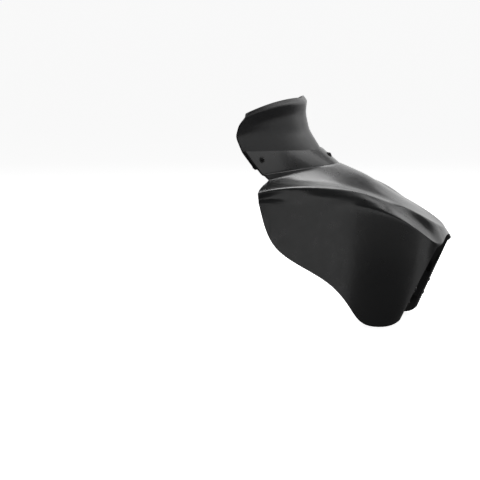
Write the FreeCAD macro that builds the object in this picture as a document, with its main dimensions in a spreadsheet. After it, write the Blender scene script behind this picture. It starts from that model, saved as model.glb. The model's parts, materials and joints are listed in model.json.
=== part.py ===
import FreeCAD, Part
import math
import os
import Sketcher

os.makedirs("parts", exist_ok=True)

V = FreeCAD.Vector
X_AXIS = V(1, 0, 0)
Y_AXIS = V(0, 1, 0)
Z_AXIS = V(0, 0, 1)
FAR = 460

doc = FreeCAD.newDocument("windshield_screen")

# Frame: +X to the rider's left, -Y forward, +Z up.  The origin is midway between the two lower fork clamps.

# ----------------------------------------------------------------------------------------------------------
# Driving dimensions (mm, degrees)
# ----------------------------------------------------------------------------------------------------------
DIMENSIONS = {
    "shell_thickness": 4.5,
    "screen_thickness": 4.5,
    "gasket_gap": 1.6,
    "gasket_clearance": 0.3,
    "wing_rear_y": 219,
    "brow_height": 172,
    "screen_bolt_x": 240,
    "screen_bolt_z": 369,
    "flange_width": 17,
    "flange_setback": 3,
    "fork_rake": 30,
    "fork_half_spacing": 124,
    "fork_radius": 24.5,
    "clamp_spacing": 95,
    "liner_thickness": 2,
    "clamp_wall": 5.5,
    "clamp_length": 24,
    "clamp_split": 2,
    "ear_reach": 14,
    "ear_thickness": 8,
    "lug_width": 12,
    "lug_radius": 10,
    "stud_reach": 48,
    "stud_radius": 4,
    "bobbin_radius": 9,
    "bobbin_length": 16,
    "groove_radius": 6,
    "groove_width": 5.4,
    "plate_thickness": 4.8,
    "plate_x": 109,
    "notch_radius": 6.3,
    "trigger_thickness": 4,
    "trigger_gap": 0.6,
    "cam_radius": 12.3,
    "cam_angle": 40,
    "handle_length": 46,
    "handle_width": 10,
    "finger_length": 11,
    "coil_radius": 5.6,
    "spring_wire_radius": 0.6,
    "spring_length": 5.6,
    "hub_radius": 8.5,
    "pivot_radius": 3,
    "screw_radius": 3,
    "hole_clearance": 0.3,
    "fit_gap": 0.05,
    "washer_radius": 8,
    "washer_thickness": 1.2,
}
sheet = doc.addObject("Spreadsheet::Sheet", "Dimensions")
for row, (alias, value) in enumerate(DIMENSIONS.items(), start=1):
    sheet.set(f"A{row}", alias)
    sheet.set(f"B{row}", str(value))
    sheet.setAlias(f"B{row}", alias)
doc.recompute()


def dim(alias):
    return float(sheet.get(alias))


def bind(obj, prop, expression):
    """Ties a property to spreadsheet cells; aliases are written as d.alias."""
    obj.setExpression(prop, expression.replace("d.", "Dimensions."))


# ----------------------------------------------------------------------------------------------------------
# Skins: a moulded sheet is described by character lines that run from the centre to the side, and ribs that
# cross them from top to bottom.  Each corner of a rib is rounded by its set-back.
# ----------------------------------------------------------------------------------------------------------
def rounded_rib(corners, setbacks):
    """Control points of a rib: its ends, and each inner corner with a point set back on both sides."""
    points = [corners[0]]
    for before, corner, after, setback in zip(corners, corners[1:], corners[2:], setbacks):
        back = before - corner
        ahead = after - corner
        points.append(corner + back * min(setback / back.Length, 0.45))
        points.append(corner)
        points.append(corner + ahead * min(setback / ahead.Length, 0.45))
    points.append(corners[-1])
    return points


def mirrored(stations):
    """Stations from the centre to one side, completed with their mirror images."""
    return [[V(-p.x, p.y, p.z) for p in rib] for rib in reversed(stations[1:])] + stations


def net_normals(net):
    """Unit normals at the points of a net, towards the rider."""
    last_i = len(net) - 1
    last_j = len(net[0]) - 1
    normals = []
    for i, rib in enumerate(net):
        normals.append([])
        for j, point in enumerate(rib):
            along = net[min(i + 1, last_i)][j] - net[max(i - 1, 0)][j]
            down = V(0, 0, 0)
            for step in (point - rib[max(j - 1, 0)], rib[min(j + 1, last_j)] - point):
                if step.Length > 0:
                    down += step.normalize()
            normals[-1].append(along.cross(down).normalize())
    return normals


def offset_net(net, distance):
    return [[p + n * distance for p, n in zip(rib, rib_normals)]
            for rib, rib_normals in zip(net, net_normals(net))]


def skin_surface(net, setbacks):
    """Cubic surface that passes through every station and follows its rounded ribs."""
    grid = [rounded_rib(rib, rib_setbacks) for rib, rib_setbacks in zip(net, setbacks)]
    middle = len(grid[0]) // 2
    spans = [(after[middle] - before[middle]).Length for before, after in zip(grid, grid[1:])]
    parameters = [sum(spans[:i]) / sum(spans) for i in range(len(grid))]
    rows = []
    for row in zip(*grid):
        curve = Part.BSplineCurve()
        curve.interpolate(Points=list(row), Parameters=parameters)
        rows.append(curve)
    poles = [list(column) for column in zip(*(curve.getPoles() for curve in rows))]
    inner_knots = len(rows) - 4
    rib_knots = [i / (inner_knots + 1) for i in range(inner_knots + 2)]
    rib_multiplicities = [4] + [1] * inner_knots + [4]
    surface = Part.BSplineSurface()
    surface.buildFromPolesMultsKnots(poles, rows[0].getMultiplicities(), rib_multiplicities,
                                     rows[0].getKnots(), rib_knots, False, False, 3, 3)
    return surface


def boundary(surface):
    u0, u1, v0, v1 = surface.bounds()
    return [surface.vIso(v0), surface.uIso(u1), surface.vIso(v1), surface.uIso(u0)]


def sheet_solid(front, back):
    """Closed solid between two surfaces that share a parametrisation."""
    faces = [front.toShape(), back.toShape()]
    for front_curve, back_curve in zip(boundary(front), boundary(back)):
        faces.append(Part.makeRuledSurface(front_curve.toShape(), back_curve.toShape()))
    shell = Part.makeShell(faces)
    shell.sewShape()
    solid = Part.makeSolid(shell)
    if solid.Volume < 0:
        solid.reverse()
    return solid


def sheet_between(net, setbacks, depth, thickness):
    """Sheet of a net's form that starts at a depth behind it and has a thickness."""
    front = skin_surface(offset_net(net, depth), setbacks)
    back = skin_surface(offset_net(net, depth + thickness), setbacks)
    return sheet_solid(front, back)


def spline_edge(points):
    curve = Part.BSplineCurve()
    curve.interpolate(points)
    return curve.toShape()


def line_edges(points):
    return [Part.LineSegment(a, b).toShape() for a, b in zip(points, points[1:])]


def prism(edges, start, length):
    """Solid swept from a closed outline along a vector, after a shift."""
    face = Part.Face(Part.Wire(Part.__sortEdges__(edges)))
    face.translate(start)
    return face.extrude(length)


def line_at(line, x):
    """Point of a character line at a distance from the centre plane."""
    if x in (line[0][0], line[-1][0]):
        return V(*next(p for p in line if p[0] == x))
    curve = Part.BSplineCurve()
    curve.interpolate([V(*p) for p in line])
    point = curve.intersectCS(Part.Plane(V(x, 0, 0), X_AXIS))[0][0]
    return V(point.X, point.Y, point.Z)


def one_solid(shape):
    solids = shape.Solids
    return max(solids, key=lambda s: s.Volume)


def add_feature(name, shape):
    """A sub-part whose shape is made by Part's functions from the sheet's values."""
    feature = doc.addObject("Part::Feature", name)
    feature.Label = name
    feature.Shape = shape
    feature.Placement = shape.Placement
    return feature


# ----------------------------------------------------------------------------------------------------------
# Fairing shell.  Stations run from the centre line to past the wing tip: centre, brow, headlight corner,
# cheek, side, wing root, wing, tip.
# ----------------------------------------------------------------------------------------------------------
LIP_TOP = [(0, 128, 383), (45, 138, 383), (88, 156, 384), (130, 178, 386), (180, 207, 388),
           (250, 248, 390.5), (330, 300, 392), (392, 345, 385)]
VALLEY = [(0, 88, 349), (45, 98, 347.5), (88, 120, 345.5), (130, 148, 342.5), (180, 183, 338.5),
          (250, 233, 333.5), (330, 292, 325), (392, 338, 310)]
FOOT = [(0, 79, 345.5), (45, 89, 344), (88, 112, 342), (130, 140, 337), (180, 173, 330),
        (250, 222, 318.5), (330, 272, 308), (392, 305, 290)]
HOOD = [(0, 15, 319), (42, 22, 316), (80, 37, 312), (120, 62, 310), (175, 106, 311),
        (245, 160, 314), (335, 208, 308.5), (392, 238, 295)]
SHOULDER = [(0, -182, 192), (42, -168, 203), (68, -122, 231), (98, -68, 257), (160, -6, 286),
            (250, 82, 305), (340, 181, 304), (392, 232, 291)]
CREASE = [(0, -197, 163), (56, -194, 161), (99, -178, 158), (139, -114, 209), (200, -10, 249),
          (265, 84, 251), (350, 188, 271), (394, 237, 270)]
FLANK = [(0, -205, 100), (70, -194, 100), (114, -160, 100), (148, -104, 100), (203, -4, 100),
         (265, 85, 104), (340, 184, 116), (386, 236, 122)]
BOTTOM = [(0, -140, -75), (100, -115, -75), (149, -79, -75), (168, -40, -75), (206, 28, -72),
          (258, 102, -62), (328, 184, -45), (372, 238, -35)]
TROUGH_DEPTH = [0, 0, 3, 3, -7, -7, 5, 6]
CREASE_SETBACK = [8, 6, 3, 5, 60, 60, 8, 4]
SHOULDER_SETBACK = [20, 24, 30, 40, 60, 60, 40, 30]
VALLEY_SETBACK = [16, 16, 15, 14, 11, 7, 3, 2.5]
LEDGE_WIDTH = [2, 2, 2, 2.5, 3, 4.5, 6, 6]

REAR_EDGE = [(225, 310), (217, 272), (210, 236), (184, 165), (125, 111), (65, 64), (21, 3),
             (-10, -38), (-45, -47), (-78, -42), (-97, -27)]
CHEEK_EDGE = [(97, 147), (112, 112), (122, 75), (129, 41), (137, 2), (143, -28), (152, -66)]


def shell_net():
    net = []
    for k, depth in enumerate(TROUGH_DEPTH):
        lines = (LIP_TOP, VALLEY, FOOT, HOOD, SHOULDER, CREASE, FLANK, BOTTOM)
        lip, valley, foot, hood, shoulder, crease, flank, bottom = (V(*line[k]) for line in lines)
        ledge = valley + V(0, -LEDGE_WIDTH[k], -1)
        trough = (shoulder + crease) * 0.5 + V(-0.6, 0.5, -0.6) * depth
        net.append([lip, valley, ledge, foot, hood, shoulder, trough, crease, flank, bottom])
    return mirrored(net)


def shell_setbacks():
    side = [[valley, 2.5, 3 + valley, 45, shoulder, 20, crease, 60]
            for valley, shoulder, crease in zip(VALLEY_SETBACK, SHOULDER_SETBACK, CREASE_SETBACK)]
    return side[:0:-1] + side


def rear_edge_tool():
    """Everything behind and below the sides' lower edge."""
    edge = [V(0, y, z) for y, z in REAR_EDGE]
    corners = [edge[-1], V(0, -FAR, edge[-1].z), V(0, -FAR, -FAR), V(0, FAR, -FAR), V(0, FAR, edge[0].z), edge[0]]
    return prism([spline_edge(edge)] + line_edges(corners), V(-FAR, 0, 0), V(2 * FAR, 0, 0))


def cutout_tool():
    """The headlight opening, from the brow down between the two cheeks."""
    side = [V(x, 0, z) for x, z in CHEEK_EDGE]
    mirror = [V(-p.x, p.y, p.z) for p in side]
    crown = Part.Arc(mirror[0], V(0, 0, dim("brow_height")), side[0]).toShape()
    low = V(0, 0, -120 - side[-1].z)
    base = line_edges([side[-1], side[-1] + low, mirror[-1] + low, mirror[-1]])
    return prism([crown, spline_edge(side), spline_edge(mirror)] + base, V(0, -FAR, 0), V(0, FAR - 20, 0))


def lip_end_tool(side):
    """What lies behind the wing's straight rear edge, outboard of the lip's slanted end."""
    corners = [V(side * x, dim("wing_rear_y"), z)
               for x, z in ((240, 319), (292, 409), (FAR, 409), (FAR, 240), (240, 240), (240, 319))]
    return prism(line_edges(corners), V(0, 0, 0), V(0, 300, 0))


# The flange is a flat strip behind each cheek's front edge.  Its plane runs along the edge's mean line.
EDGE_HIGH = V(112, -163, 112)
EDGE_LOW = V(143, -96, -28)
EDGE_ALONG = V(0, EDGE_HIGH.y - EDGE_LOW.y, EDGE_HIGH.z - EDGE_LOW.z).normalize()
EDGE_NORMAL = X_AXIS.cross(EDGE_ALONG)
EDGE_LENGTH = V(0, EDGE_HIGH.y - EDGE_LOW.y, EDGE_HIGH.z - EDGE_LOW.z).Length
PLATE_BOLTS = (40, 78)


def edge_point(side, along, inboard, depth):
    """Point on the cheek's front edge line, moved inboard and back from the front."""
    share = along / EDGE_LENGTH
    x = EDGE_LOW.x + (EDGE_HIGH.x - EDGE_LOW.x) * share - inboard
    base = V(0, EDGE_LOW.y, EDGE_LOW.z) + EDGE_ALONG * along
    return V(side * x, base.y, base.z) - EDGE_NORMAL * depth


def flange_strip(side):
    corners = [edge_point(side, along, inboard, dim("flange_setback"))
               for along, inboard in ((-8, -1.2), (-8, dim("flange_width")), (118, dim("flange_width")),
                                      (148, 0), (148, -1.2), (-8, -1.2))]
    return prism(line_edges(corners), V(0, 0, 0), EDGE_NORMAL * -dim("shell_thickness"))


def screen_bolt_points():
    """Places of the screen bolts: one at the centre of the lip and one near each end."""
    return [(x, dim("screen_bolt_z")) for x in (-dim("screen_bolt_x"), 0, dim("screen_bolt_x"))]


def surface_frame(surface, x, z):
    """Point and outward normal of a front surface where it is pierced by a fore-and-aft line."""
    line = Part.Line(V(x, -FAR, z), V(x, FAR, z))
    points = [V(p.X, p.Y, p.Z) for p in line.intersectCS(surface)[0]]
    point = min(points, key=lambda p: p.y)
    normal = surface.normal(*surface.parameter(point))
    return point, normal if normal.y < 0 else normal * -1


def drill(point, normal, radius, depth=40):
    """Cylinder centred on a wall, for a hole square to it."""
    return Part.makeCylinder(radius, depth, point + normal * (depth / 2), normal * -1)


shell_front = skin_surface(shell_net(), shell_setbacks())


def bolt_frames():
    return [surface_frame(shell_front, x, z) for x, z in screen_bolt_points()]


def plate_bolt_frames():
    half = dim("flange_width") / 2
    return [(edge_point(side, along, half, dim("flange_setback")), EDGE_NORMAL)
            for side in (-1, 1) for along in PLATE_BOLTS]


def fairing_shell():
    blank = sheet_between(shell_net(), shell_setbacks(), 0, dim("shell_thickness"))
    body = one_solid(blank.cut([rear_edge_tool(), cutout_tool(), lip_end_tool(1), lip_end_tool(-1)]))
    body = one_solid(body.fuse([flange_strip(-1), flange_strip(1)]))
    radius = dim("screw_radius") + dim("hole_clearance")
    holes = [drill(p, n, radius) for p, n in bolt_frames() + plate_bolt_frames()]
    return one_solid(body.cut(holes))


add_feature("fairing_shell", fairing_shell())


# ----------------------------------------------------------------------------------------------------------
# Screen: it follows the back of the lip, bends up above it, and turns back along its top edge.
# ----------------------------------------------------------------------------------------------------------
SCREEN_TOP = [(0, 184, 513), (79, 193, 514), (157, 213, 510), (228, 239, 500), (281, 267, 486)]
SCREEN_TURN = [(0, 173, 500), (78, 183, 502), (156, 204, 499), (227, 233, 490), (286, 266, 477)]
SCREEN_HIGH = [(0, 174, 470), (77, 188, 472), (154, 214, 470), (229, 248, 464), (300, 279, 455)]
SCREEN_LOW = [(0, 166, 430), (75, 180, 431), (150, 211, 432), (226, 251, 431), (298, 287, 427)]
SEAT_ENDS = (285, 260)
GASKET_END = 268


SHARES = [k / 8 for k in range(9)]


def behind_lip(x, height, depth):
    """Point behind the lip's front face; its height is 0 at the lip's valley and 1 at its top edge."""
    low = line_at(VALLEY, x).z
    high = line_at(LIP_TOP, x).z
    point, normal = surface_frame(shell_front, x, low + (high - low) * height)
    return point - normal * depth


def screen_net():
    depth = dim("shell_thickness") + dim("gasket_gap")
    top_end, low_end = SEAT_ENDS
    net = []
    for share in SHARES:
        above = [line_at(line, line[-1][0] * share) for line in (SCREEN_TOP, SCREEN_TURN, SCREEN_HIGH, SCREEN_LOW)]
        net.append(above + [behind_lip(top_end * share, 0.96, depth), behind_lip(low_end * share, 0.24, depth)])
    return mirrored(net)


def screen_corner_tool(side):
    """What is cut off to round an upper corner of the screen, seen from the front."""
    low, middle, high = (V(side * x, 0, z) for x, z in ((300.5, 440), (285, 477), (238, 500)))
    outside = line_edges([high, V(high.x, 0, FAR + 100), V(side * FAR, 0, FAR + 100),
                          V(side * FAR, 0, low.z), low])
    return prism([Part.Arc(low, middle, high).toShape()] + outside, V(0, 0, 0), V(0, FAR, 0))


def drilled_for_bolts(body):
    radius = dim("screw_radius") + dim("hole_clearance")
    return one_solid(body.cut([drill(p, n, radius) for p, n in bolt_frames()]))


def screen_solid():
    net = screen_net()
    body = sheet_between(net, [[7, 15, 22, 8]] * len(net), 0, dim("screen_thickness"))
    body = one_solid(body.cut([screen_corner_tool(-1), screen_corner_tool(1)]))
    return drilled_for_bolts(body)


def gasket_solid():
    """Foam strip between the lip's back and the screen."""
    depth = dim("shell_thickness") + dim("gasket_clearance")
    net = mirrored([[behind_lip(x, height, depth) for height in (0.9, 0.6, 0.3)]
                    for x in (GASKET_END * share for share in SHARES)])
    thickness = dim("gasket_gap") - 2 * dim("gasket_clearance")
    return drilled_for_bolts(sheet_between(net, [[5]] * len(net), 0, thickness))


add_feature("screen", screen_solid())
add_feature("lip_gasket", gasket_solid())


# ----------------------------------------------------------------------------------------------------------
# Building blocks for the metal parts
# ----------------------------------------------------------------------------------------------------------
def primitive(kind, name, sizes, placement=FreeCAD.Placement()):
    """A Part primitive whose sizes are expressions over the sheet."""
    obj = doc.addObject("Part::" + kind, name)
    for prop, expression in sizes.items():
        bind(obj, prop, expression)
    obj.Placement = placement
    return obj


def cylinder(name, radius, height, placement=FreeCAD.Placement()):
    return primitive("Cylinder", name, {"Radius": radius, "Height": height}, placement)


def shifted(x, y, z, rotation=FreeCAD.Rotation()):
    return FreeCAD.Placement(V(x, y, z), rotation)


def joined(name, parts):
    obj = doc.addObject("Part::MultiFuse", name)
    obj.Shapes = parts
    return obj


def cut_by(name, base, tool):
    obj = doc.addObject("Part::Cut", name)
    obj.Base = base
    obj.Tool = tool
    return obj


def common_of(name, base, tool):
    obj = doc.addObject("Part::Common", name)
    obj.Base = base
    obj.Tool = tool
    return obj


def mirror_image(name, source):
    """The right-hand twin of a left-hand piece."""
    obj = doc.addObject("Part::Mirroring", name)
    obj.Source = source
    obj.Normal = X_AXIS
    return obj


def sketch_on(body, plane, name, offset=FreeCAD.Placement()):
    """New sketch on one of the body's own origin planes."""
    sketch = body.newObject("Sketcher::SketchObject", name)
    sketch.AttachmentSupport = (next(f for f in body.Origin.OriginFeatures if f.Role == plane), [""])
    sketch.MapMode = "FlatFace"
    sketch.AttachmentOffset = offset
    return sketch


def add_lines(sketch, points):
    sketch.addGeometry([Part.LineSegment(a, b) for a, b in zip(points, points[1:])], False)


def add_hole(sketch, centre, radius):
    """Circle in a sketch; its radius is an expression over the sheet."""
    circle = sketch.addGeometry(Part.Circle(centre, Z_AXIS, 1), False)
    constraint = sketch.addConstraint(Sketcher.Constraint("Radius", circle, 1))
    bind(sketch, f"Constraints[{constraint}]", radius)


def pad(body, sketch, length):
    feature = body.newObject("PartDesign::Pad", sketch.Name + "_pad")
    feature.Profile = sketch
    bind(feature, "Length", length)
    sketch.Visibility = False
    return feature


def bored(body, name, radius, depth, placement):
    """Cylindrical hole in a body."""
    hole = body.newObject("PartDesign::SubtractiveCylinder", name)
    bind(hole, "Radius", radius)
    bind(hole, "Height", depth)
    hole.Placement = placement


# Turns that carry a part's own axis, drawn along Z, to another direction.
FORK_TILT = FreeCAD.Rotation(X_AXIS, -dim("fork_rake"))
TO_Y = FreeCAD.Rotation(Z_AXIS, Y_AXIS)
SIDE_VIEW = FreeCAD.Rotation(Y_AXIS, Z_AXIS, X_AXIS, "ZXY")
SIDES = {"left": 1, "right": -1}
LEVELS = {"lower": 0, "upper": dim("clamp_spacing")}


def fork_point(x, along, ahead):
    """Point given by its distance along the fork from the lower clamps and its distance ahead of it."""
    return FORK_TILT.multVec(V(x, -ahead, along))


# ----------------------------------------------------------------------------------------------------------
# Fork clamps: a rubber liner, a rider's half, and a front half with the lug for the stud
# ----------------------------------------------------------------------------------------------------------
EAR_MIDDLE = (dim("fork_radius") + dim("liner_thickness") + dim("fit_gap") + dim("clamp_wall")
              + dim("ear_reach") / 2)


def half_ring(sketch, facing):
    """Outline of half a clamp with its two ears; facing is 1 to the rider and -1 to the front."""
    inner = dim("fork_radius") + dim("liner_thickness") + dim("fit_gap")
    outer = inner + dim("clamp_wall")
    low = dim("clamp_split") / 2
    high = low + dim("ear_thickness")
    inner_x = math.sqrt(inner ** 2 - low ** 2)
    outer_x = math.sqrt(outer ** 2 - high ** 2)
    tip = outer + dim("ear_reach")
    ear = [V(inner_x, low * facing), V(tip, low * facing), V(tip, high * facing), V(outer_x, high * facing)]
    opposite = [V(-p.x, p.y) for p in ear]
    add_lines(sketch, ear)
    add_lines(sketch, opposite)
    sketch.addGeometry(Part.Arc(ear[0], V(0, inner * facing), opposite[0]), False)
    sketch.addGeometry(Part.Arc(ear[-1], V(0, outer * facing), opposite[-1]), False)


def clamp_half(name, facing, centre):
    body = doc.addObject("PartDesign::Body", name)
    half_length = dim("clamp_length") / 2
    section = sketch_on(body, "XY_Plane", name + "_section", shifted(0, 0, -half_length))
    half_ring(section, facing)
    pad(body, section, "d.clamp_length")
    if facing < 0:
        add_stud_lug(body, name)
    for ear in (-1, 1):
        hole = shifted(ear * EAR_MIDDLE, -20, 0, TO_Y)
        bored(body, f"{name}_ear{ear + 2}", "d.screw_radius + d.hole_clearance", "40", hole)
    body.Placement = FreeCAD.Placement(centre, FORK_TILT)
    body.Label = name


def add_stud_lug(body, name):
    """Lug ahead of the clamp, rounded about the stud's axis."""
    radius = dim("lug_radius")
    root = -dim("fork_radius") - dim("liner_thickness") - 2.5
    end = -dim("stud_reach")
    side = sketch_on(body, "YZ_Plane", name + "_lug", shifted(0, 0, -dim("lug_width") / 2))
    add_lines(side, [V(end, radius), V(root, radius), V(root, -radius), V(end, -radius)])
    side.addGeometry(Part.Arc(V(end, -radius), V(end - radius, 0), V(end, radius)), False)
    add_hole(side, V(end, 0), "d.stud_radius + d.fit_gap")
    pad(body, side, "d.lug_width")


def clamp_liner(name, centre):
    """Split rubber sleeve round the fork tube."""
    sleeve = cylinder(name + "_outside", "d.fork_radius + d.liner_thickness", "d.clamp_length")
    tube = cylinder(name + "_inside", "d.fork_radius", "d.clamp_length")
    slit = primitive("Box", name + "_slit", {"Length": "d.fork_radius", "Width": "d.clamp_split",
                                             "Height": "d.clamp_length"},
                     shifted(dim("fork_radius") / 2, -dim("clamp_split") / 2, 0))
    liner = cut_by(name, sleeve, joined(name + "_voids", [tube, slit]))
    base = centre - FORK_TILT.multVec(Z_AXIS) * (dim("clamp_length") / 2)
    liner.Placement = FreeCAD.Placement(base, FORK_TILT)
    liner.Label = name


def clamp_centres():
    return {f"{hand}_{level}": fork_point(side * dim("fork_half_spacing"), along, 0)
            for hand, side in SIDES.items() for level, along in LEVELS.items()}


for place, centre in clamp_centres().items():
    clamp_half(place + "_clamp_front", -1, centre)
    clamp_half(place + "_clamp_rear", 1, centre)
    clamp_liner(place + "_clamp_liner", centre)


# ----------------------------------------------------------------------------------------------------------
# Fasteners.  Each pattern stands on its seat at z = 0 with its head towards +Z; a group holds its copies.
# ----------------------------------------------------------------------------------------------------------
def button_screw(name, radius, length):
    """Domed head with a hexagon socket on a plain shank."""
    shank = cylinder(name + "_shank", radius, f"{length}", shifted(0, 0, -length))
    rim = cylinder(name + "_rim", f"{radius} * 1.75", f"{radius} * 1.1")
    dome = primitive("Sphere", name + "_dome", {"Radius": f"{radius} * 2.38"})
    bind(dome, "Placement.Base.z", f"{radius} * -1.28")
    head = common_of(name + "_head", rim, dome)
    socket = primitive("Prism", name + "_socket", {"Circumradius": f"{radius} * 0.77", "Height": "6"})
    bind(socket, "Placement.Base.z", f"{radius} * 0.4")
    return cut_by(name, joined(name + "_solid", [shank, head]), socket)


def flanged_nut(name, radius):
    """Hexagon nut with its flange at z = 0."""
    hexagon = primitive("Prism", name + "_hexagon", {"Circumradius": f"{radius} * 1.8",
                                                     "Height": f"{radius} * 1.7"})
    flange = cylinder(name + "_flange", f"{radius} * 2", "1.2")
    bore = cylinder(name + "_bore", f"{radius} + d.fit_gap", "20", shifted(0, 0, -5))
    return cut_by(name, joined(name + "_solid", [hexagon, flange]), bore)


def washer(name, outside, inside, thickness):
    disc = cylinder(name + "_disc", outside, thickness)
    bore = cylinder(name + "_bore", inside, "20", shifted(0, 0, -5))
    return cut_by(name, disc, bore)


def bobbin_pattern(name):
    """Rubber spool; its groove takes the mount plate's notch."""
    spool = cylinder(name + "_spool", "d.bobbin_radius", "d.bobbin_length")
    ring = cylinder(name + "_ring", "d.bobbin_radius + 1", "d.groove_width")
    core = cylinder(name + "_core", "d.groove_radius", "d.groove_width")
    groove = cut_by(name + "_groove", ring, core)
    groove.Placement = shifted(0, 0, (dim("bobbin_length") - dim("groove_width")) / 2)
    bore = cylinder(name + "_bore", "d.stud_radius + d.fit_gap", "d.bobbin_length")
    return cut_by(name, spool, joined(name + "_voids", [groove, bore]))


def group(name, pattern, frames, height):
    """Copies of a pattern, each raised by a height from its point along its direction."""
    doc.recompute()
    copies = []
    for point, direction in frames:
        copy = pattern.Shape.copy()
        copy.Placement = FreeCAD.Placement(point + direction * height, FreeCAD.Rotation(Z_AXIS, direction))
        copies.append(copy)
    add_feature(name, Part.makeCompound(copies))


# Gaps under a flat seat and under a seat on a curved skin, and the height of a washer with its gap.
SEAT = 0.05
CURVE_SEAT = 0.4
GRIP = dim("washer_thickness") + 0.1
screw_radius = "d.screw_radius"
m6_washer = washer("m6_washer", "d.washer_radius", "d.screw_radius + d.hole_clearance", "d.washer_thickness")
m6_nut = flanged_nut("m6_nut", screw_radius)

# Screen bolts, through lip, gasket and screen.
screen_back = -(dim("shell_thickness") + dim("gasket_gap") + dim("screen_thickness"))
group("screen_bolts", button_screw("screen_bolt", screw_radius, 22), bolt_frames(), CURVE_SEAT + GRIP)
group("screen_bolt_washers", m6_washer, bolt_frames(), CURVE_SEAT)
group("screen_rubber_washers", m6_washer, bolt_frames(),
      screen_back - CURVE_SEAT - dim("washer_thickness"))
screen_nut_seat = screen_back - CURVE_SEAT - GRIP
group("screen_nuts", m6_nut, [(p + n * screen_nut_seat, n * -1) for p, n in bolt_frames()], 0)

# Plate bolts, through the shell's flange and the mount plate.
plate_front = dim("shell_thickness") + 0.1
plate_back = plate_front + dim("plate_thickness")
group("plate_bolts", button_screw("plate_bolt", screw_radius, 20), plate_bolt_frames(), SEAT + GRIP)
group("plate_bolt_washers", m6_washer, plate_bolt_frames(), SEAT)
group("plate_nuts", m6_nut, [(p - n * (plate_back + SEAT), n * -1) for p, n in plate_bolt_frames()], 0)


def ear_frames(facing):
    """Middle of each ear's outer face and its outward direction, on the rider's or the front half."""
    out = FORK_TILT.multVec(V(0, facing, 0))
    face = dim("clamp_split") / 2 + dim("ear_thickness")
    return [(centre + V(ear * EAR_MIDDLE, 0, 0) + out * face, out)
            for centre in clamp_centres().values() for ear in (-1, 1)]


group("clamp_screws", button_screw("clamp_screw", screw_radius, 26), ear_frames(1), SEAT)
group("clamp_nuts", m6_nut, ear_frames(-1), SEAT)


def stud_frames(x, direction):
    """Points on the studs' axes at a distance from the centre plane; direction 1 is away from it."""
    return [(fork_point(side * x, along, dim("stud_reach")), V(side * direction, 0, 0))
            for side in SIDES.values() for along in LEVELS.values()]


lug_outside = dim("fork_half_spacing") + dim("lug_width") / 2
bobbin_inside = dim("plate_x") - dim("bobbin_length") / 2
stud_washer = washer("stud_washer", "d.bobbin_radius", "d.stud_radius + d.fit_gap", "d.washer_thickness")
group("studs", button_screw("stud", "d.stud_radius", 39), stud_frames(lug_outside, 1), SEAT)
group("bobbins", bobbin_pattern("bobbin"), stud_frames(bobbin_inside, 1), 0)
group("bobbin_washers", stud_washer, stud_frames(bobbin_inside, -1), SEAT)
group("stud_nuts", flanged_nut("stud_nut", "d.stud_radius"), stud_frames(bobbin_inside, -1), SEAT + GRIP)


# ----------------------------------------------------------------------------------------------------------
# Mount plates: a web beside each fork with a notch for the lower bobbin and a slot for the upper one,
# and a flange behind the shell's flange
# ----------------------------------------------------------------------------------------------------------
PIVOT = (dim("clamp_spacing") - 18, dim("stud_reach") - 12)


def side_point(along, ahead):
    """Fork distances turned into side view coordinates."""
    point = fork_point(0, along, ahead)
    return V(point.y, point.z)


def add_web(body):
    """Side view of the plate: the front edge, the slot's edges, the pivot's boss and the lower notch."""
    web = sketch_on(body, "YZ_Plane", "web", shifted(0, 0, dim("plate_x") - dim("plate_thickness") / 2))
    reach = dim("stud_reach")
    notch = dim("notch_radius")
    upper = dim("clamp_spacing")
    front_depth = dim("flange_setback") + plate_front + dim("plate_thickness") / 2
    front_high, front_low = (edge_point(0, along, 0, front_depth) for along in (96, 26))
    over = [(52, 112), (upper + 17, 68), (upper + 17, 33), (upper + notch, 33), (upper + notch, reach)]
    behind = [(upper - notch, reach), (upper - notch, 33), (81, 33), (78, 26), (66, 26), (56, 33), (-17, 33),
              (-17, reach - notch), (0, reach - notch)]
    below = [(0, reach + notch), (-17, reach + notch), (-17, 64)]
    over, behind, below = ([side_point(*p) for p in run] for run in (over, behind, below))
    front_high = V(front_high.y, front_high.z)
    front_low = V(front_low.y, front_low.z)
    add_lines(web, [front_high] + over)
    web.addGeometry(Part.Arc(over[-1], side_point(upper, reach + notch), behind[0]), False)
    add_lines(web, behind)
    web.addGeometry(Part.Arc(behind[-1], side_point(notch, reach), below[0]), False)
    add_lines(web, below + [front_low, front_high])
    add_hole(web, side_point(*PIVOT), "d.pivot_radius + d.fit_gap")
    add_hole(web, side_point(*SPRING_HOLE), "d.spring_wire_radius + d.hole_clearance")
    for along, ahead, radius in ((55, 92, "14"), (14, 96, "15")):
        add_hole(web, side_point(along, ahead), radius)
    pad(body, web, "d.plate_thickness")


def add_plate_flange(body):
    """Strip bolted behind the shell's flange."""
    base = edge_point(0, 0, 0, dim("flange_setback") + plate_back)
    plane = FreeCAD.Rotation(X_AXIS, EDGE_ALONG, EDGE_NORMAL, "ZXY")
    flange = sketch_on(body, "XY_Plane", "flange", FreeCAD.Placement(base, plane))
    inside = dim("plate_x") - dim("plate_thickness") / 2
    high = edge_point(1, 96, 2.5, 0).x
    low = edge_point(1, 26, 2.5, 0).x
    add_lines(flange, [V(inside, 26), V(low, 26), V(high, 96), V(inside, 96), V(inside, 26)])
    for along in PLATE_BOLTS:
        centre = V(edge_point(1, along, dim("flange_width") / 2, 0).x, along)
        add_hole(flange, centre, "d.screw_radius + d.hole_clearance")
    pad(body, flange, "d.plate_thickness")


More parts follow.
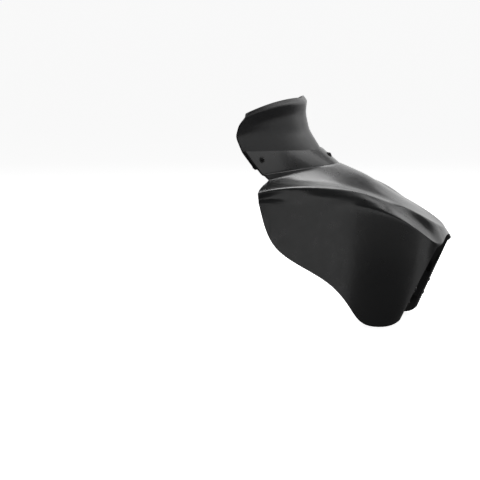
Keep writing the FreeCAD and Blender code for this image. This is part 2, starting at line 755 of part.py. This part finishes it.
# ----------------------------------------------------------------------------------------------------------
# Trigger latches: a cam that closes the upper slot, its handle, its pivot and its spring
# ----------------------------------------------------------------------------------------------------------
HANDLE_ANGLE = -150
SPRING_HOLE_ANGLE = 110
SPRING_REACH = 13
HOOK = 8
HOOK_RADIUS = math.hypot(SPRING_REACH, dim("coil_radius"))
SPRING_HOLE = (PIVOT[0] + HOOK_RADIUS * math.cos(math.radians(SPRING_HOLE_ANGLE)),
               PIVOT[1] + HOOK_RADIUS * math.sin(math.radians(SPRING_HOLE_ANGLE)))
# Inner face of the left trigger, and the seat of its pivot's head, along X.
TRIGGER_FACE = dim("plate_x") - dim("plate_thickness") / 2 - dim("trigger_gap") - dim("trigger_thickness")
PIVOT_SEAT = TRIGGER_FACE - 6.8


def left_trigger():
    centre = fork_point(0, *PIVOT)
    to_bobbin = fork_point(0, dim("clamp_spacing"), dim("stud_reach")) - centre
    cam_start = math.degrees(math.atan2(to_bobbin.z, to_bobbin.y)) - dim("cam_angle") / 2
    turned = FreeCAD.Rotation(Z_AXIS, HANDLE_ANGLE)
    tip = turned.multVec(V(dim("handle_length"), 0, 0))
    hub = cylinder("trigger_hub", "d.hub_radius", "d.trigger_thickness")
    cam = cylinder("trigger_cam", "d.cam_radius", "d.trigger_thickness",
                   FreeCAD.Placement(V(0, 0, 0), FreeCAD.Rotation(Z_AXIS, cam_start)))
    bind(cam, "Angle", "d.cam_angle")
    offset = turned.multVec(V(0, -dim("handle_width") / 2, 0))
    handle = primitive("Box", "trigger_handle", {"Length": "d.handle_length", "Width": "d.handle_width",
                                                 "Height": "d.trigger_thickness"},
                       FreeCAD.Placement(offset, turned))
    end = cylinder("trigger_end", "d.handle_width / 2", "d.trigger_thickness", shifted(tip.x, tip.y, 0))
    finger = cylinder("trigger_finger", "d.handle_width / 2", "d.finger_length",
                      shifted(tip.x, tip.y, -dim("finger_length") + 0.5))
    bore = cylinder("trigger_bore", "d.pivot_radius + d.fit_gap", "20", shifted(0, 0, -5))
    lever = cut_by("left_trigger", joined("trigger_solid", [hub, cam, handle, end, finger]), bore)
    lever.Placement = FreeCAD.Placement(centre + V(TRIGGER_FACE, 0, 0), SIDE_VIEW)
    return lever


def rod(start, end, radius):
    return Part.makeCylinder(radius, (end - start).Length, start, end - start)


def hooked_leg(height, turn, direction):
    """Straight leg that leaves the coil on a tangent and ends in a hook along the pivot."""
    radius = dim("coil_radius")
    wire = dim("spring_wire_radius")
    bend = direction * SPRING_REACH
    points = [turn.multVec(p) for p in (V(radius, 0, height), V(radius, bend + direction * wire, height),
                                        V(radius, bend, height), V(radius, bend, height + HOOK))]
    return [rod(points[0], points[1], wire), rod(points[2], points[3], wire - 0.08)]


def spring_solid():
    """Torsion spring round the pivot, its coil closed up; one leg hooks the handle, the other the plate."""
    wire = dim("spring_wire_radius")
    wall = wire + 0.1
    length = dim("spring_length")
    coil = Part.makeCylinder(dim("coil_radius") + wall, length)
    coil = coil.cut(Part.makeCylinder(dim("coil_radius") - wall, length))
    reach_angle = math.degrees(math.atan2(SPRING_REACH, dim("coil_radius")))
    to_plate = FreeCAD.Rotation(Z_AXIS, SPRING_HOLE_ANGLE - reach_angle)
    to_handle = FreeCAD.Rotation(Z_AXIS, SPRING_HOLE_ANGLE + 63 + reach_angle)
    legs = hooked_leg(length - wall, to_plate, 1) + hooked_leg(wall, to_handle, -1)
    return one_solid(coil.fuse(legs))


def left_spring():
    """The spring in place: its own X and Y lie along the fork and ahead of it."""
    solid = spring_solid()
    tilt = FreeCAD.Rotation(FORK_TILT.multVec(Z_AXIS), FORK_TILT.multVec(Y_AXIS * -1), X_AXIS, "ZXY")
    low = TRIGGER_FACE - 0.15 - dim("spring_length")
    solid.Placement = FreeCAD.Placement(fork_point(low, *PIVOT), tilt).multiply(solid.Placement)
    return solid


def pivot_frames(x, direction):
    return [(fork_point(side * x, *PIVOT), V(side * direction, 0, 0)) for side in SIDES.values()]


left_plate = doc.addObject("PartDesign::Body", "left_mount_plate")
add_web(left_plate)
add_plate_flange(left_plate)
mirror_image("right_mount_plate", left_plate)

mirror_image("right_trigger", left_trigger())
left_trigger_spring = add_feature("left_trigger_spring", left_spring())
mirror_image("right_trigger_spring", left_trigger_spring)
plate_outside = dim("plate_x") + dim("plate_thickness") / 2
group("trigger_pivots", button_screw("trigger_pivot", "d.pivot_radius", 22), pivot_frames(PIVOT_SEAT, -1), 0)
group("trigger_nuts", flanged_nut("trigger_nut", "d.pivot_radius"), pivot_frames(plate_outside, 1), SEAT)


# ----------------------------------------------------------------------------------------------------------
# Writing the parts
# ----------------------------------------------------------------------------------------------------------
NODES = ["fairing_shell", "screen", "lip_gasket", "screen_bolts", "screen_bolt_washers", "screen_rubber_washers",
         "screen_nuts", "left_mount_plate", "right_mount_plate", "plate_bolts", "plate_bolt_washers",
         "plate_nuts", "clamp_screws", "clamp_nuts", "studs", "bobbins", "bobbin_washers", "stud_nuts",
         "left_trigger", "right_trigger", "left_trigger_spring", "right_trigger_spring", "trigger_pivots",
         "trigger_nuts"]
NODES += [f"{place}_clamp_{piece}" for place in clamp_centres() for piece in ("front", "rear", "liner")]

doc.recompute()
for obj in doc.Objects:
    if "Invalid" in obj.State or "Error" in obj.State:
        raise RuntimeError(f"{obj.Name} did not build")
for node in NODES:
    shape = doc.getObject(node).Shape
    if shape.isNull() or not shape.isValid() or not shape.Solids:
        raise RuntimeError(f"{node} has no valid solid")
for node in NODES:
    doc.getObject(node).Shape.exportStep(f"parts/{node}.step")
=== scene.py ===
import json
import math

import bpy
from mathutils import Matrix, Vector


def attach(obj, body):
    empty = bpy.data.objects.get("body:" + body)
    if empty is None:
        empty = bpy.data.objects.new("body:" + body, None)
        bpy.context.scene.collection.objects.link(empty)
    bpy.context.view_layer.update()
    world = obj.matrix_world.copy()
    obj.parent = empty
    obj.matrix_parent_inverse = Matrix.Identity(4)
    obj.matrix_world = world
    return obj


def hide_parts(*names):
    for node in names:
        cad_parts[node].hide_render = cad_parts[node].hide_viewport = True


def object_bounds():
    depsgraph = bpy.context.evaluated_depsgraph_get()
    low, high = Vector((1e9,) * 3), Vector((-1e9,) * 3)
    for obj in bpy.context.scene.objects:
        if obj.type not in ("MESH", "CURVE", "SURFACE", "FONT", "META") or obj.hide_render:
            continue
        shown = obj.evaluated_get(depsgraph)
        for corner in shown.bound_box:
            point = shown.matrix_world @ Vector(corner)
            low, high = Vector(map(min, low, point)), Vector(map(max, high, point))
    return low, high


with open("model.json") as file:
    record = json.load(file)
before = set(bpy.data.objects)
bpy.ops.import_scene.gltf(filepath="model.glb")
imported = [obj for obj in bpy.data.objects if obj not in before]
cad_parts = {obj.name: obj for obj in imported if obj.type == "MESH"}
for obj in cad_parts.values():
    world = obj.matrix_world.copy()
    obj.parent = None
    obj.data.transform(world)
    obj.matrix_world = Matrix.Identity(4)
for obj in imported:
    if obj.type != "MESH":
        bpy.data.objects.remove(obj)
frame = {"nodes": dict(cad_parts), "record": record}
CAD_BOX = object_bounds()
NODES = frame["nodes"]
BODY = "fairing"
FORK_RAKE = math.radians(30)


# --------------------------------------------------------------------------------------------------------
# Materials: each has grain, a slow colour variation, roughness variation and worn edges
# --------------------------------------------------------------------------------------------------------
class Graph:
    """Short names for building a material's nodes."""

    def __init__(self, name):
        self.material = bpy.data.materials.new(name)
        self.material.use_nodes = True
        self.tree = self.material.node_tree
        self.shader = self.tree.nodes["Principled BSDF"]
        self.coords = self.tree.nodes.new("ShaderNodeTexCoord")

    def link(self, source, target):
        self.tree.links.new(source, target)

    def placed(self, stretch):
        mapping = self.tree.nodes.new("ShaderNodeMapping")
        mapping.inputs["Scale"].default_value = stretch
        self.link(self.coords.outputs["Object"], mapping.inputs["Vector"])
        return mapping.outputs["Vector"]

    def noise(self, scale, detail=3.0, stretch=(1, 1, 1)):
        node = self.tree.nodes.new("ShaderNodeTexNoise")
        node.inputs["Scale"].default_value = scale
        node.inputs["Detail"].default_value = detail
        self.link(self.placed(stretch), node.inputs["Vector"])
        return node.outputs["Fac"]

    def cells(self, scale):
        node = self.tree.nodes.new("ShaderNodeTexVoronoi")
        node.inputs["Scale"].default_value = scale
        self.link(self.placed((1, 1, 1)), node.inputs["Vector"])
        return node.outputs["Distance"]

    def ranged(self, value, low, high, start=0.3, end=0.7):
        node = self.tree.nodes.new("ShaderNodeMapRange")
        node.inputs["From Min"].default_value = start
        node.inputs["From Max"].default_value = end
        node.inputs["To Min"].default_value = low
        node.inputs["To Max"].default_value = high
        self.link(value, node.inputs["Value"])
        return node.outputs["Result"]

    def mixed(self, share, first, second):
        node = self.tree.nodes.new("ShaderNodeMix")
        node.data_type = "RGBA"
        self.link(share, node.inputs["Factor"])
        for socket, colour in ((node.inputs["A"], first), (node.inputs["B"], second)):
            if isinstance(colour, tuple):
                socket.default_value = (*colour, 1)
            else:
                self.link(colour, socket)
        return node.outputs["Result"]

    def edges(self, start=0.53, end=0.62):
        geometry = self.tree.nodes.new("ShaderNodeNewGeometry")
        return self.ranged(geometry.outputs["Pointiness"], 0, 1, start, end)

    def bump(self, height, strength, distance):
        node = self.tree.nodes.new("ShaderNodeBump")
        node.inputs["Strength"].default_value = strength
        node.inputs["Distance"].default_value = distance
        self.link(height, node.inputs["Height"])
        self.link(node.outputs["Normal"], self.shader.inputs["Normal"])


def finish_material(name, dark, light, roughness, grain, bump, worn=None, metallic=0.0, stretch=(1, 1, 1),
                    coat=0.0, cells=False):
    """A surface: its two tones, its range of roughness, the size of its grain and its worn edge tone."""
    graph = Graph(name)
    tone = graph.mixed(graph.ranged(graph.noise(14), 0, 1), dark, light)
    if worn:
        tone = graph.mixed(graph.edges(), tone, worn)
    graph.link(tone, graph.shader.inputs["Base Color"])
    fine = graph.cells(grain) if cells else graph.noise(grain, 4.0, stretch)
    rough = graph.ranged(graph.noise(45, 5.0, stretch), *roughness)
    graph.link(rough, graph.shader.inputs["Roughness"])
    graph.shader.inputs["Metallic"].default_value = metallic
    graph.shader.inputs["Coat Weight"].default_value = coat
    graph.shader.inputs["Coat Roughness"].default_value = 0.12
    graph.bump(fine, bump, 0.0004)
    return graph.material


def smoked_acrylic():
    """Tinted sheet, so dark that it reads as opaque, with a soft gloss and a paler edge."""
    graph = Graph("smoked_acrylic")
    tone = graph.mixed(graph.ranged(graph.noise(6), 0, 1), (0.022, 0.0225, 0.024), (0.027, 0.0275, 0.029))
    edge = graph.mixed(graph.edges(0.54, 0.66), tone, (0.05, 0.05, 0.052))
    graph.link(edge, graph.shader.inputs["Base Color"])
    graph.link(graph.ranged(graph.noise(60, 5.0), 0.30, 0.36), graph.shader.inputs["Roughness"])
    graph.shader.inputs["IOR"].default_value = 1.36
    graph.bump(graph.noise(900, 2.0), 0.02, 0.0002)
    return graph.material


MATERIALS = {
    "satin_black_plastic": finish_material(
        "satin_black_plastic", (0.0135, 0.014, 0.015), (0.0155, 0.016, 0.017), (0.27, 0.31), 1400, 0.02,
        worn=(0.05, 0.05, 0.053), coat=0.25),
    "smoked_acrylic": smoked_acrylic(),
    "foam_rubber": finish_material(
        "foam_rubber", (0.012, 0.012, 0.012), (0.022, 0.022, 0.022), (0.85, 0.98), 1500, 0.6,
        worn=(0.035, 0.035, 0.035), cells=True),
    "nylon": finish_material("nylon", (0.02, 0.02, 0.02), (0.035, 0.035, 0.034), (0.45, 0.6), 1200, 0.1,
                             worn=(0.06, 0.06, 0.058)),
    "rubber": finish_material(
        "rubber", (0.014, 0.014, 0.014), (0.024, 0.023, 0.022), (0.65, 0.85), 1800, 0.25,
        worn=(0.05, 0.05, 0.048)),
    "black_steel": finish_material(
        "black_steel", (0.018, 0.018, 0.019), (0.03, 0.03, 0.031), (0.28, 0.42), 1600, 0.08,
        worn=(0.22, 0.22, 0.22), metallic=0.6),
    "zinc_steel": finish_material(
        "zinc_steel", (0.52, 0.53, 0.53), (0.66, 0.66, 0.64), (0.2, 0.38), 1100, 0.12,
        worn=(0.8, 0.8, 0.8), metallic=1.0, stretch=(1, 1, 6)),
    "spring_steel": finish_material(
        "spring_steel", (0.32, 0.32, 0.33), (0.45, 0.45, 0.45), (0.2, 0.35), 1500, 0.1,
        worn=(0.55, 0.55, 0.54), metallic=1.0),
    "black_powder_coat": finish_material(
        "black_powder_coat", (0.016, 0.016, 0.017), (0.026, 0.026, 0.027), (0.42, 0.55), 900, 0.3,
        worn=(0.12, 0.12, 0.12)),
    "cast_aluminium": finish_material(
        "cast_aluminium", (0.46, 0.47, 0.48), (0.6, 0.6, 0.61), (0.36, 0.52), 1000, 0.3,
        worn=(0.75, 0.75, 0.76), metallic=1.0),
}


# --------------------------------------------------------------------------------------------------------
# The CAD nodes: each takes its slot's material, and its hard edges are slightly rounded
# --------------------------------------------------------------------------------------------------------
EDGE_ROUNDING = {"fairing_shell": 0.0009, "screen": 0.0011, "lip_gasket": 0.0002}
SMALL_ROUNDING = 0.0003
WELD_DISTANCE = 0.000002
SHARP_ANGLE = math.radians(40)


def dress(node, slot):
    obj = NODES[node]
    obj.data.materials.clear()
    obj.data.materials.append(MATERIALS[slot])
    weld = obj.modifiers.new("weld", "WELD")
    weld.merge_threshold = WELD_DISTANCE
    bevel = obj.modifiers.new("rounding", "BEVEL")
    bevel.width = EDGE_ROUNDING.get(node, SMALL_ROUNDING)
    bevel.segments = 3
    bevel.limit_method = "ANGLE"
    bevel.angle_limit = SHARP_ANGLE
    bevel.harden_normals = True
    normals = obj.modifiers.new("normals", "WEIGHTED_NORMAL")
    normals.keep_sharp = True


for entry in frame["record"]["subparts"]:
    dress(entry["node"], entry["material_slot"])


# --------------------------------------------------------------------------------------------------------
# Trigger springs: close turns of wire round each pivot, one leg in the plate and one on the handle
# --------------------------------------------------------------------------------------------------------
# A point is (along the fork from the pivot, ahead of it, outward along the pivot), in metres.
PIVOT = Vector((0, 0.00732, 0.08468))
ALONG = Vector((0, math.sin(FORK_RAKE), math.cos(FORK_RAKE)))
AHEAD = Vector((0, -math.cos(FORK_RAKE), math.sin(FORK_RAKE)))
COIL_RADIUS = 0.0056
WIRE_RADIUS = 0.0006
COIL_START = 0.09695
COIL_END = 0.10115
REACH = 0.013
HOOK = 0.008
PLATE_ANGLE = math.radians(43.3)
HANDLE_ANGLE = math.radians(239.7)
TURNS_ANGLE = PLATE_ANGLE - HANDLE_ANGLE + 4 * math.tau
# Angle of coil that turns with the trigger, and how much of it the fixed coil leaves uncovered.
MOVING_TURN = 2.2
UNCOVERED_TURN = 0.6
COIL_STEP = 0.15


def around(angle, radius, outward, sideways=0.0):
    """Point at a radius and angle round the pivot, moved sideways along the circle's tangent."""
    return Vector((radius * math.cos(angle) - sideways * math.sin(angle),
                   radius * math.sin(angle) + sideways * math.cos(angle), outward))


def leg(angle, outward, direction):
    """Hook, bend and straight run of one leg, ending where the coil begins."""
    bend = around(angle, COIL_RADIUS, outward, direction * REACH)
    hook = [bend + Vector((0, 0, HOOK * share)) for share in (1, 0.6, 0.2)]
    run = [around(angle, COIL_RADIUS, outward, direction * REACH * share) for share in (0.88, 0.5, 0.1)]
    corner = bend.lerp((hook[-1] + run[0]) / 2, 0.5)
    return hook + [corner] + run


def turns(start, sweep):
    """Part of the coil, from the plate's end, as its angle falls by the sweep."""
    steps = max(8, round(sweep / COIL_STEP))
    points = []
    for step in range(steps + 1):
        turned = start + sweep * step / steps
        outward = COIL_END - (COIL_END - COIL_START) * turned / TURNS_ANGLE
        points.append(around(PLATE_ANGLE - turned, COIL_RADIUS, outward))
    return points


def wire(name, side, points, body):
    curve = bpy.data.curves.new(name, "CURVE")
    curve.dimensions = "3D"
    curve.bevel_depth = WIRE_RADIUS
    curve.bevel_resolution = 4
    curve.use_fill_caps = True
    line = curve.splines.new("NURBS")
    line.points.add(len(points) - 1)
    for target, point in zip(line.points, points):
        place = PIVOT + ALONG * point.x + AHEAD * point.y + Vector((side * point.z, 0, 0))
        target.co = (*place, 1)
    line.order_u = 3
    line.use_endpoint_u = True
    curve.materials.append(MATERIALS["spring_steel"])
    obj = bpy.data.objects.new(name, curve)
    bpy.context.scene.collection.objects.link(obj)
    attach(obj, body)
    return obj


def trigger_spring(hand, side):
    """The coil stays with the fairing; its last turn and the leg on the handle follow the trigger."""
    fixed = leg(PLATE_ANGLE, COIL_END, 1) + turns(0, TURNS_ANGLE - UNCOVERED_TURN)
    moving = turns(TURNS_ANGLE - MOVING_TURN, MOVING_TURN) + leg(HANDLE_ANGLE, COIL_START, -1)[::-1]
    coil = wire(hand + "_spring_coil", side, fixed, BODY)
    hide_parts(hand + "_trigger_spring")
    wire(hand + "_spring_leg", side, moving, hand + "_trigger")


trigger_spring("left", 1)
trigger_spring("right", -1)


# --------------------------------------------------------------------------------------------------------
# Setting: floor, backdrop, lights and camera
# --------------------------------------------------------------------------------------------------------
FLOOR_HALF_WIDTH = 90
FLOOR_DROP = 0.001


def plain_floor(level):
    mesh = bpy.data.meshes.new("floor")
    corners = [(x * FLOOR_HALF_WIDTH, y * FLOOR_HALF_WIDTH, level)
               for x, y in ((-1, -1), (1, -1), (1, 1), (-1, 1))]
    mesh.from_pydata(corners, [], [(0, 1, 2, 3)])
    floor = bpy.data.objects.new("floor", mesh)
    bpy.context.scene.collection.objects.link(floor)
    graph = Graph("pale_floor")
    graph.shader.inputs["Base Color"].default_value = (0.93, 0.93, 0.93, 1)
    graph.shader.inputs["Roughness"].default_value = 0.9
    graph.shader.inputs["Emission Color"].default_value = (1, 1, 1, 1)
    graph.shader.inputs["Emission Strength"].default_value = 0.85
    mesh.materials.append(graph.material)
    floor.visible_glossy = False
    floor.visible_diffuse = False


def pale_world(seen, cast):
    """Backdrop brightness as seen directly, and the dimmer light that it casts."""
    world = bpy.data.worlds.new("studio")
    bpy.context.scene.world = world
    world.use_nodes = True
    tree = world.node_tree
    background = tree.nodes["Background"]
    background.inputs["Color"].default_value = (1, 1, 1, 1)
    path = tree.nodes.new("ShaderNodeLightPath")
    strength = tree.nodes.new("ShaderNodeMapRange")
    strength.inputs["To Min"].default_value = cast
    strength.inputs["To Max"].default_value = seen
    tree.links.new(path.outputs["Is Camera Ray"], strength.inputs["Value"])
    tree.links.new(strength.outputs["Result"], background.inputs["Strength"])


def soft_light(name, place, target, width, height, power):
    light = bpy.data.lights.new(name, "AREA")
    light.shape = "RECTANGLE"
    light.size = width
    light.size_y = height
    light.energy = power
    obj = bpy.data.objects.new(name, light)
    bpy.context.scene.collection.objects.link(obj)
    obj.location = place
    obj.rotation_mode = "QUATERNION"
    obj.rotation_quaternion = (Vector(target) - Vector(place)).to_track_quat("-Z", "Y")
    obj.visible_camera = False


TURN = math.radians(12)
TILT = math.radians(5.5)
TO_CAMERA = Vector((-math.cos(TURN) * math.cos(TILT), -math.sin(TURN) * math.cos(TILT), math.sin(TILT)))
SIDEWAYS = Vector((math.sin(TURN), -math.cos(TURN), 0))
UPWARDS = TO_CAMERA.cross(SIDEWAYS)
DISTANCE = 7.0
VIEW_WIDTH = 1.2192
AIM = SIDEWAYS * -0.3353 + UPWARDS * 0.1524


def photo_camera():
    data = bpy.data.cameras.new("camera")
    data.sensor_width = 36
    data.lens = data.sensor_width * DISTANCE / VIEW_WIDTH
    data.clip_start = 0.1
    data.clip_end = 100
    camera = bpy.data.objects.new("camera", data)
    bpy.context.scene.collection.objects.link(camera)
    camera.location = AIM + TO_CAMERA * DISTANCE
    axes = Matrix((SIDEWAYS, UPWARDS, TO_CAMERA)).transposed()
    camera.rotation_mode = "QUATERNION"
    camera.rotation_quaternion = axes.to_quaternion()
    bpy.context.scene.camera = camera


photo_camera()
bpy.context.scene.view_settings.view_transform = "Standard"
plain_floor(CAD_BOX[0].z - FLOOR_DROP)
pale_world(1.0, 0.10)
soft_light("overhead", (0.4, 0.6, 2.4), (0.3, 0.3, 0.2), 3.2, 2.4, 26)
soft_light("far_wall", (3.2, 0.2, 1.05), (0, 0, 0.3), 7.0, 2.1, 44)
soft_light("high_rear", (2.5, 0.9, 3.1), (0, 0, 0.3), 2.8, 1.8, 48)
soft_light("high_front", (2.3, -2.2, 2.3), (0, 0, 0.3), 1.8, 1.6, 12)
soft_light("front_wall", (0.9, -3.4, 0.9), (0, 0, 0.3), 3.0, 2.4, 16)
soft_light("front_strip", (-1.35, -2.1, 0.1), (0, 0, 0.15), 0.45, 2.2, 3.5)
